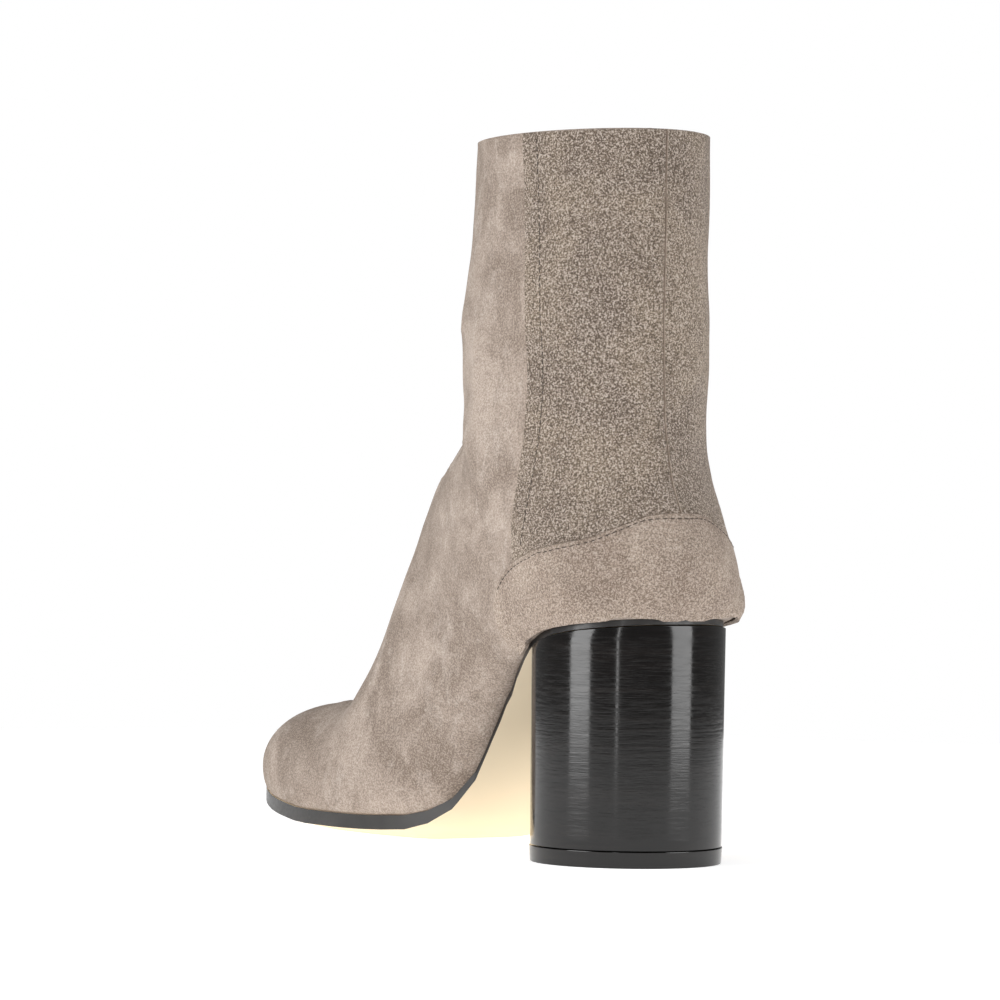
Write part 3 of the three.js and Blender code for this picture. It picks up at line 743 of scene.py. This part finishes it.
@dataclass
class Upper:
    """Soft wall of the boot, from the toes to the collar."""

    last: Last
    rings_per_row: int = 7
    fold_passes: int = 180
    fold_start: float = 74.0
    fold_band: tuple[float, float] = (163.0, 205.0)
    fold_slope: float = 0.3
    creases: tuple[Crease, ...] = (
        Crease(-0.35, (0.16, 0.0, 1.0), 166.0, 5.0, starts=(62, 92)),
        Crease(0.25, (0.10, 0.0, 1.0), 173.0, 7.0, starts=(62, 92)),
        Crease(-0.5, (-0.25, 0.0, 1.0), 151.0, 4.5, starts=(62, 92)),
        Crease(0.9, (-0.55, -0.06, 1.0), -57.5, 3.2, starts=(165, 178)),
        Crease(-0.6, (1.0, 0.0, 0.5), 196.0, 5.0, rises=(45, 60), fades=(95, 110)),
    )
    tree: BVHTree | None = field(default=None, init=False)

    def relief(self, point: Vector) -> float:
        """How far the worn surface stands off the smooth form.

        Args:
            point: a point of the form in metres.

        Returns:
            The distance outward in millimetres.
        """
        x = self.last.origin.y - point.y * 1000
        m = point.x * 1000 - self.last.origin.x
        z = point.z * 1000
        spot = Vector((m, x, z))
        waves = noise.noise(spot / 30) * 0.7 + noise.noise(spot / 13) * 0.25
        return waves * ease(z, 12, 40) + sum(crease.at(x, m, z) for crease in self.creases)

    def near_fold(self, point: Vector) -> bool:
        """Whether a point lies where the instep turns up into the shaft.

        Args:
            point: the point in metres.

        Returns:
            True near the fold.
        """
        x = self.last.origin.y - point.y * 1000
        low, high = self.fold_band
        return x > self.fold_start and low < point.z * 1000 + self.fold_slope * x < high

    def build(self) -> bpy.types.Object:
        """Makes the wall.

        Returns:
            The object, which replaces the upper's solid.
        """
        count = (len(SECTIONS) - 1) * self.rings_per_row
        rows = [self.last.ring(k / self.rings_per_row) for k in range(count + 1)]
        form = sheet_of(rows)
        bmesh.ops.remove_doubles(form, verts=form.verts, dist=0.02 * MM)
        self.open_cleft(form)
        bmesh.ops.recalc_face_normals(form, faces=form.faces)
        self.trim_collar(form)
        soft = [v for v in form.verts if self.near_fold(v.co) and not v.is_boundary]
        for _ in range(self.fold_passes):
            bmesh.ops.smooth_vert(
                form, verts=soft, factor=0.5, use_axis_x=True, use_axis_y=True, use_axis_z=True,
            )
        form.normal_update()
        moves = [(v, v.normal.copy() * self.relief(v.co) * MM) for v in form.verts]
        for vert, move in moves:
            if not vert.is_boundary:
                vert.co += move
        form.normal_update()
        self.tree = BVHTree.FromBMesh(form)
        made = new_object("boot_upper", form)
        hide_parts("upper")
        dress(made, (Finish.FRONT, Finish.LINING))
        add_thickness(made, WALL, 1)
        log.info("upper: %d faces", len(made.data.polygons))
        return made

    def open_cleft(self, form: bmesh.types.BMesh) -> None:
        """Takes out the floor of the cleft.

        Args:
            form: the sheet of the upper.
        """
        cleft = self.last.cleft
        middle = self.last.origin.x + SECTIONS[TOE_ROW, COLUMNS.index("mid")] * HALF

        def floor(face: bmesh.types.BMFace) -> bool:
            centre = face.calc_center_median() * 1000
            x = self.last.origin.y - centre.y
            low = centre.z < self.last.sole_height(x) + 0.6
            return low and x > cleft.root and abs(centre.x - middle) < cleft.half(x) + 0.4

        bmesh.ops.delete(form, geom=[f for f in form.faces if floor(f)], context="FACES")
        loose = [v for v in form.verts if not v.link_faces]
        bmesh.ops.delete(form, geom=loose, context="VERTS")

    def trim_collar(self, form: bmesh.types.BMesh) -> None:
        """Cuts the shaft along the collar.

        Args:
            form: the sheet of the upper.
        """
        geom = [*form.verts, *form.edges, *form.faces]
        normal = Vector((0, -COLLAR_DROP / LENGTH, 1)).normalized()
        start = self.last.place(0, 0, COLLAR)
        bmesh.ops.bisect_plane(form, geom=geom, plane_co=start, plane_no=normal, clear_outer=True)


@dataclass
class Wrap:
    """Finds points on the outside of the upper, looking outward from an upright axis."""

    last: Last
    tree: BVHTree
    axis_levels: tuple[float, ...] = (66, 78, 110, 150, 240)
    axis_places: tuple[float, ...] = (34, 34, 42, 58, 60)
    middle: float = 160.0
    step: float = 0.4
    tries: int = 120
    halvings: int = 14
    widest: float = math.radians(150)

    def axis(self, z: float) -> float:
        """How far forward the axis stands at a height.

        Args:
            z: the height.

        Returns:
            The distance forward.
        """
        return float(np.interp(z, self.axis_levels, self.axis_places))

    def hit(self, turn: float, z: float) -> tuple[Vector, Vector]:
        """Point on the surface, or on the first place toward the middle that has one.

        Args:
            turn: angle from straight back, positive to the inner side, in radians.
            z: the height.

        Returns:
            The point in metres and the normal there.
        """
        step = self.step if z < self.middle else -self.step
        for k in range(self.tries):
            start = self.last.place(self.axis(z), 0, z + k * step)
            found = self.tree.ray_cast(start, Vector((math.sin(turn), math.cos(turn), 0)))
            if found[0] is not None:
                return found[0], found[1]
        raise ValueError(f"the upper has no surface at {turn:.2f} and {z:.1f}")

    def x_at(self, turn: float, z: float) -> float:
        """Distance forward of the point on the surface.

        Args:
            turn: angle from straight back.
            z: the height.

        Returns:
            The distance forward.
        """
        return self.last.origin.y - self.hit(turn, z)[0].y * 1000

    def turn_at(self, x: float, z: float, side: int) -> float:
        """Angle at which the surface is so far forward.

        Args:
            x: distance forward.
            z: the height.
            side: 1 for the inner side, -1 for the outer side.

        Returns:
            The angle.
        """
        low, high = 0.0, self.widest
        for _ in range(self.halvings):
            middle = (low + high) / 2
            if self.x_at(side * middle, z) < x:
                low = middle
            else:
                high = middle
        return side * (low + high) / 2

    def level_at(self, turn: Callable[[float], float], limit: Callable[[float], float],
                 low: float, high: float) -> float:
        """Height at which the surface meets a line drawn on the side view.

        Args:
            turn: angle at each height.
            limit: height of the line at each distance forward.
            low: lowest height looked at.
            high: highest height looked at.

        Returns:
            The height.
        """
        for _ in range(self.halvings):
            middle = (low + high) / 2
            if middle < limit(self.x_at(turn(middle), middle)):
                low = middle
            else:
                high = middle
        return (low + high) / 2

    def off(self, turn: float, z: float, rise: float) -> Vector:
        """Point that stands off the surface.

        Args:
            turn: angle from straight back.
            z: the height.
            rise: distance off the surface in millimetres.

        Returns:
            The point in metres.
        """
        point, normal = self.hit(turn, z)
        away = Vector((math.sin(turn), math.cos(turn), 0))
        outward = normal if normal.dot(away) > 0 else -normal
        return point + outward * rise * MM


@dataclass
class Counter:
    """Cup around the heel, in one piece from side to side."""

    wrap: Wrap
    thickness: float = 1.6
    nose_x: float = 60.2
    nose_z: float = 78.0
    nose_start: float = 57.0
    over_sole: float = 1.4
    hem: float = 1.1
    tuck: float = 0.5
    lowest: tuple[float, float] = (62, 84)
    highest: tuple[float, float] = (76, 122)
    columns: int = 64
    rows: int = 16
    edge: tuple[tuple[float, float], ...] = (
        (-0.060, 0.470), (0.018, 0.467), (0.040, 0.450), (0.070, 0.434), (0.130, 0.420),
        (0.205, 0.396), (0.246, 0.368), (0.262, 0.335), (0.2621, 0.318),
    )
    line: np.ndarray = field(init=False)

    def __post_init__(self) -> None:
        """Works out the upper edge on the side view."""
        table = np.array(self.edge)
        line = [between(table, k / 8) for k in range(8 * (len(table) - 1) + 1)]
        self.line = np.array(line) * (LENGTH, HEIGHT)

    def top(self, x: float) -> float:
        """Height of the upper edge.

        Args:
            x: distance forward.

        Returns:
            The height.
        """
        return float(np.interp(x, self.line[:, 0], self.line[:, 1]))

    def bottom(self, x: float) -> float:
        """Height of the lower edge.

        Args:
            x: distance forward.

        Returns:
            The height.
        """
        sole = self.wrap.last.sole_height(x) + self.over_sole
        return sole + (self.nose_z - sole) * ease(x, self.nose_start, self.nose_x) ** 2

    def build(self) -> bpy.types.Object:
        """Makes the cup.

        Returns:
            The object, which replaces the counter's solid.
        """
        ends = [self.wrap.turn_at(self.nose_x, self.nose_z, side) for side in (-1, 1)]
        columns = []
        for k in range(-self.columns, self.columns + 1):
            share = math.sin(abs(k) / self.columns * math.pi / 2)
            turn = ends[1 if k > 0 else 0] * share
            low = self.wrap.level_at(lambda _: turn, self.bottom, *self.lowest)
            high = self.wrap.level_at(lambda _: turn, self.top, *self.highest)
            rise = max(high, low + 0.2) - low
            levels = [low + rise * r / self.rows for r in range(self.rows + 1)]
            column = [self.wrap.off(turn, z, CLEAR + self.thickness) for z in levels]
            inward = Vector((-math.sin(turn), -math.cos(turn), 0)) * self.tuck * MM
            columns.append([column[0] + inward - Vector((0, 0, self.hem * MM)), *column])
        rows = [[column[r] for column in columns] for r in range(self.rows + 2)]
        form = sheet_of(rows)
        face_outward(form, self.wrap.last.place(34, 0, 90))
        made = new_object("boot_counter", form)
        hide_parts("heel_counter")
        dress(made, (Finish.COUNTER,))
        add_thickness(made, self.thickness)
        log.info("counter: %d faces", len(made.data.polygons))
        return made


def face_outward(form: bmesh.types.BMesh, centre: Vector) -> None:
    """Turns the faces of a sheet away from a point inside.

    Args:
        form: the sheet.
        centre: the point in metres.
    """
    bmesh.ops.recalc_face_normals(form, faces=form.faces)
    total = sum(f.normal.dot(f.calc_center_median() - centre) * f.calc_area() for f in form.faces)
    if total < 0:
        bmesh.ops.reverse_faces(form, faces=form.faces)


@dataclass
class BackPanel:
    """Panel lapped over the back of the shaft, from the back seam to its front edge."""

    wrap: Wrap
    counter: Counter
    side: int
    name: str
    node: str
    thickness: float = 1.2
    seam: float = 0.12
    seam_radius: float = 45.0
    front_radius: float = 42.0
    below_collar: float = 0.25
    lowest: tuple[float, float] = (84, 124)
    highest: tuple[float, float] = (220, 244)
    columns: int = 44
    rows: int = 70
    edge: tuple[tuple[float, float], ...] = (
        (0.200, 0.360), (0.192, 0.480), (0.188, 0.620), (0.196, 0.780), (0.212, 1.020),
    )
    levels: np.ndarray = field(init=False)
    turns: list[float] = field(init=False)

    def __post_init__(self) -> None:
        """Works out the front edge as an angle for each height."""
        table = np.array(self.edge)
        line = np.array([between(table, k / 6) for k in range(6 * (len(table) - 1) + 1)])
        self.levels = np.linspace(90, COLLAR, 60)
        at = np.interp(self.levels, line[:, 1] * HEIGHT, line[:, 0] * LENGTH)
        self.turns = [self.wrap.turn_at(x, z, self.side) for x, z in zip(at, self.levels)]

    def turn(self, share: float, z: float, back: float = 0.0) -> float:
        """Angle at a share of the way from the seam to the front edge.

        Args:
            share: the share.
            z: the height.
            back: millimetres behind the front edge.

        Returns:
            The angle.
        """
        full = float(np.interp(z, self.levels, self.turns))
        gap = self.side * self.seam / self.seam_radius
        return gap + (full - gap) * share - self.side * back / self.front_radius

    def build(self) -> bpy.types.Object:
        """Makes the panel.

        Returns:
            The object, which replaces the panel's solid.
        """
        def over_counter(x: float) -> float:
            return self.counter.top(x) + CLEAR

        def collar(x: float) -> float:
            return COLLAR - COLLAR_DROP * x / LENGTH

        columns = []
        for k in range(self.columns + 1):
            def at(z: float, share: float = k / self.columns) -> float:
                return self.turn(share, z)

            low = self.wrap.level_at(at, over_counter, *self.lowest)
            high = self.wrap.level_at(at, collar, *self.highest)
            rise = high - self.below_collar - low
            levels = [low + rise * r / self.rows for r in range(self.rows + 1)]
            columns.append([self.wrap.off(at(z), z, CLEAR + self.thickness) for z in levels])
        rows = [[column[r] for column in columns] for r in range(self.rows + 1)]
        form = sheet_of(rows)
        face_outward(form, self.wrap.last.place(60, 0, 160))
        made = new_object(self.name, form)
        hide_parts(self.node)
        dress(made, (Finish.PANEL, Finish.CUT))
        add_thickness(made, self.thickness, 0, 1)
        log.info("%s: %d faces", self.name, len(made.data.polygons))
        return made


@dataclass
class Stitching:
    """Rows of short stitches lying on the panels."""

    wrap: Wrap
    counter: Counter
    flap: BackPanel
    outer: BackPanel
    stitch: float = 1.9
    margin: float = 7.2
    pitch: float = 2.5
    thread: float = 0.34
    proud: float = 0.05
    lowest: float = 104.0
    below_collar: float = 4.5
    levels: int = 70
    inset: float = 1.5
    reach: float = 0.93
    spots: int = 60

    def row(self, form: bmesh.types.BMesh, line: list[Vector]) -> None:
        """Lays one row of stitches along a line.

        Args:
            form: the form that takes the stitches.
            line: points along the row in metres.
        """
        long, thick = self.stitch / 2 * MM, self.thread / 2 * MM
        sizes = Matrix.Diagonal((long, thick, thick, 1))
        steps = [(b - a).length for a, b in zip(line, line[1:])]
        total, at = sum(steps), 0.5 * self.pitch * MM
        while at < total:
            left, k = at, 0
            while k < len(steps) - 1 and left > steps[k]:
                left -= steps[k]
                k += 1
            along = (line[k + 1] - line[k]).normalized()
            spot = line[k] + along * left
            turn = along.to_track_quat("X", "Z").to_matrix().to_4x4()
            place = Matrix.Translation(spot) @ turn @ sizes
            bmesh.ops.create_uvsphere(form, u_segments=8, v_segments=6, radius=1.0, matrix=place)
            at += self.pitch * MM

    def build(self) -> bpy.types.Object:
        """Makes all the stitches as one piece.

        Returns:
            The object.
        """
        def below_edge(x: float) -> float:
            return self.counter.top(x) - self.inset

        form = bmesh.new()
        rise = CLEAR + self.flap.thickness + self.proud
        levels = np.linspace(self.lowest, COLLAR - self.below_collar, self.levels)
        for panel in (self.flap, self.outer):
            turns = [panel.turn(1.0, z, self.margin) for z in levels]
            self.row(form, [self.wrap.off(turn, z, rise) for turn, z in zip(turns, levels)])
        rise = CLEAR + self.counter.thickness + self.proud
        for side in (-1, 1):
            end = self.wrap.turn_at(self.counter.nose_x, self.counter.nose_z, side)
            line = []
            for k in range(self.spots):
                turn = end * self.reach * k / (self.spots - 1)
                z = self.wrap.level_at(lambda _: turn, below_edge, *self.counter.highest)
                line.append(self.wrap.off(turn, z, rise))
            self.row(form, line)
        made = new_object("boot_stitching", form)
        dress(made, (Finish.THREAD,))
        log.info("stitching: %d faces", len(made.data.polygons))
        return made


@dataclass
class Heel:
    """Stacked block with a round back and a flat breast, and its top lift."""

    last: Last
    height: float = 80.0
    radius: float = 32.0
    breast: float = 50.0
    corner: float = 2.5
    corner_steps: int = 6
    taper: float = 0.4
    taper_run: float = 70.0
    lift: float = 5.7
    seat: float = 2.0
    sag: float = 0.4
    bevel: float = 0.15
    around: int = 84
    courses: int = 20

    def outline(self, z: float) -> list[tuple[float, float]]:
        """Outline seen from above.

        Args:
            z: the height.

        Returns:
            Distance forward and sideways of each point.
        """
        radius = self.radius - self.taper * (1 - z / self.height)
        corner_x = self.breast - self.corner
        corner_m = math.sqrt((radius - self.corner) ** 2 - (corner_x - self.radius) ** 2)
        start = math.atan2(corner_m, corner_x - self.radius)
        one, back = [], []
        for k in range(self.corner_steps + 1):
            turn = start * k / self.corner_steps
            x = corner_x + self.corner * math.cos(turn)
            one.append((x, corner_m + self.corner * math.sin(turn)))
        for k in range(1, self.around):
            turn = start + k / self.around * (2 * math.pi - 2 * start)
            back.append((self.radius + radius * math.cos(turn), radius * math.sin(turn)))
        return [*one, *back, *((x, -m) for x, m in reversed(one))]

    def block(self, name: str, node: str, low: float, top: Callable[[float], float],
              kind: Finish) -> bpy.types.Object:
        """Makes a closed block over the outline.

        Args:
            name: its name.
            node: the solid that it replaces.
            low: height of its underside.
            top: height of its top at each distance forward.
            kind: its finish.

        Returns:
            The object.
        """
        rows = []
        for k in range(self.courses + 1):
            share = k / self.courses
            loop = []
            for x, m in self.outline(low + share * self.taper_run):
                loop.append(self.last.place(x, m, low + (top(x) - low) * share))
            rows.append([*loop, loop[0]])
        form = sheet_of(rows)
        bmesh.ops.remove_doubles(form, verts=form.verts, dist=0.01 * MM)
        bmesh.ops.holes_fill(form, edges=[e for e in form.edges if e.is_boundary], sides=0)
        bmesh.ops.recalc_face_normals(form, faces=form.faces)
        rims = [e for e in form.edges if e.calc_face_angle(0.0) > math.radians(50)]
        bmesh.ops.bevel(
            form, geom=rims, offset=self.bevel * MM, segments=2, affect="EDGES", profile=0.5,
            material=-1,
        )
        made = new_object(name, form)
        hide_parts(node)
        dress(made, (kind,))
        return made

    def build(self) -> list[bpy.types.Object]:
        """Makes the block and the lift.

        Returns:
            The two objects.
        """
        def under_sole(x: float) -> float:
            seat = self.seat + self.sag * ease(x, 46, 70)
            return self.last.sole_height(x) - 2 * CLEAR - seat

        def under_block(_: float) -> float:
            return self.lift - CLEAR

        block = self.block("boot_heel", "heel", self.lift, under_sole, Finish.HEEL)
        lift = self.block("boot_top_lift", "top_lift", 0.0, under_block, Finish.HEEL)
        log.info("heel and top lift made")
        return [block, lift]


@dataclass
class Outsole:
    """Leather sole: natural underside and black painted edge."""

    last: Last
    edge_tilt: float = 0.45
    bevel: float = 0.45

    def build(self) -> bpy.types.Object:
        """Copies the sole's solid and dresses the copy.

        Returns:
            The object, which replaces the sole's solid.
        """
        form = bmesh.new()
        form.from_mesh(bpy.data.objects["outsole"].data)
        bmesh.ops.remove_doubles(form, verts=form.verts, dist=0.01 * MM)
        bmesh.ops.recalc_face_normals(form, faces=form.faces)
        bmesh.ops.dissolve_limit(
            form, angle_limit=math.radians(0.5), verts=form.verts, edges=form.edges,
        )
        for face in form.faces:
            face.material_index = 1 if abs(face.normal.z) < self.edge_tilt else 0
        made = new_object("boot_outsole", form)
        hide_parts("outsole")
        dress(made, (Finish.SOLE, Finish.EDGE))
        add_bevel(made, self.bevel, 3, 40).material = 1
        log.info("outsole: %d faces", len(made.data.polygons))
        return made


def dress_insole() -> None:
    """Gives the insole's solid its leather."""
    dress(bpy.data.objects["insole"], (Finish.INSOLE,))


@dataclass(frozen=True)
class SoftBox:
    """Soft light: degrees to the camera's left, its place and size in metres, and its watts."""

    name: str
    turn: float
    height: float
    distance: float
    size: tuple[float, float]
    power: float


@dataclass
class Studio:
    """Pale floor, soft lights and the camera at the photograph's angle."""

    last: Last
    turn: float = 33.0
    distance: float = 1750.0
    height: float = 134.5
    focal: float = 5300.0
    side_shift: float = 131.0
    pitch: float = 0.516
    roll: float = 0.9
    image: float = 1000.0
    heel_x: float = 32.0
    floor_radius: float = 0.72
    sky: float = 0.22
    boxes: tuple[SoftBox, ...] = (
        SoftBox("left_box", 58, 0.45, 1.5, (0.75, 1.3), 19),
        SoftBox("right_box", -66, 0.45, 1.5, (0.75, 1.3), 15),
        SoftBox("narrow_box", 12, 0.45, 1.9, (0.07, 1.2), 1.6),
        SoftBox("top_box", 30, 2.0, 1.0, (1.6, 1.6), 6),
    )

    def camera(self) -> None:
        """Places the camera."""
        a = math.radians(self.turn)
        away = Vector((-math.sin(a), -math.cos(a), 0))
        right = Vector((-math.cos(a), math.sin(a), 0))
        heel = Vector((self.last.origin.x, self.last.origin.y - self.heel_x, 0))
        spot = (heel - away * self.distance + Vector((0, 0, self.height))) * MM
        yaw = math.atan(self.side_shift / self.focal)
        level = away * math.cos(yaw) - right * math.sin(yaw)
        across = right * math.cos(yaw) + away * math.sin(yaw)
        p = math.radians(self.pitch)
        forward = level * math.cos(p) - Vector((0, 0, 1)) * math.sin(p)
        up = Vector((0, 0, 1)) * math.cos(p) + level * math.sin(p)
        r = math.radians(self.roll)
        turned_right = across * math.cos(r) + up * math.sin(r)
        turned_up = up * math.cos(r) - across * math.sin(r)
        basis = Matrix((turned_right, turned_up, -forward)).transposed().to_4x4()
        data = bpy.data.cameras.new("camera")
        data.sensor_width = 36.0
        data.lens = self.focal / self.image * data.sensor_width
        data.clip_end = 120.0
        made = bpy.data.objects.new("camera", data)
        made.matrix_world = Matrix.Translation(spot) @ basis
        bpy.context.scene.collection.objects.link(made)
        bpy.context.scene.camera = made

    def light(self, box: SoftBox) -> None:
        """Adds one soft box that faces the boot.

        Args:
            box: the box.
        """
        data = bpy.data.lights.new(box.name, "AREA")
        data.shape = "RECTANGLE"
        data.size, data.size_y = box.size
        data.energy = box.power
        a = math.radians(self.turn + box.turn)
        centre = Vector((self.last.origin.x, self.last.origin.y - 60, 90)) * MM
        toward = Vector((math.sin(a), math.cos(a), 0))
        spot = toward * box.distance + Vector((centre.x, centre.y, box.height))
        made = bpy.data.objects.new(box.name, data)
        facing = (centre - spot).to_track_quat("-Z", "Y").to_matrix().to_4x4()
        made.matrix_world = Matrix.Translation(spot) @ facing
        bpy.context.scene.collection.objects.link(made)

    def floor(self) -> None:
        """Makes the floor, a pale disc."""
        form = bmesh.new()
        bmesh.ops.create_circle(form, cap_ends=True, segments=96, radius=self.floor_radius)
        mesh = bpy.data.meshes.new("floor")
        form.to_mesh(mesh)
        form.free()
        floor = bpy.data.objects.new("floor", mesh)
        bpy.context.scene.collection.objects.link(floor)
        paint = Nodes("floor_paint")
        paint.set(Base_Color=linear("#FAFAFA"), Roughness=0.9)
        paint.set(Emission_Color=(1, 1, 1, 1), Emission_Strength=0.62)
        floor.data.materials.append(paint.material)

    def surroundings(self) -> None:
        """Makes the world, white to the camera and dimmer as a light."""
        world = bpy.data.worlds.new("studio")
        bpy.context.scene.world = world
        world.use_nodes = True
        sky = world.node_tree.nodes["Background"]
        sky.inputs["Color"].default_value = (1, 1, 1, 1)
        path = world.node_tree.nodes.new("ShaderNodeLightPath")
        level = world.node_tree.nodes.new("ShaderNodeMapRange")
        level.inputs["To Min"].default_value = self.sky
        level.inputs["To Max"].default_value = 1.0
        world.node_tree.links.new(path.outputs["Is Camera Ray"], level.inputs["Value"])
        world.node_tree.links.new(level.outputs[0], sky.inputs["Strength"])

    def build(self) -> None:
        """Makes the floor, the world, the lights and the camera."""
        self.floor()
        self.surroundings()
        for box in self.boxes:
            self.light(box)
        bpy.context.scene.view_settings.view_transform = "Standard"
        self.camera()
        log.info("studio ready")


def main() -> None:
    """Builds the boot in the order that a maker would."""
    logging.basicConfig(level=logging.INFO, format="%(name)s %(message)s")
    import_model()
    heel_low, heel_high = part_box("heel")
    origin = Vector(((heel_low.x + heel_high.x) / 2 * 1000, heel_high.y * 1000, 0))
    last = Last(origin)
    upper = Upper(last)
    upper.build()
    wrap = Wrap(last, upper.tree)
    counter = Counter(wrap)
    counter.build()
    flap = BackPanel(wrap, counter, 1, "boot_flap", "quarter_flap")
    flap.build()
    outer = BackPanel(wrap, counter, -1, "boot_quarter", "quarter_outer")
    outer.build()
    Stitching(wrap, counter, flap, outer).build()
    Outsole(last).build()
    Heel(last).build()
    dress_insole()
    Studio(last).build()


if __name__ == "__main__":
    main()
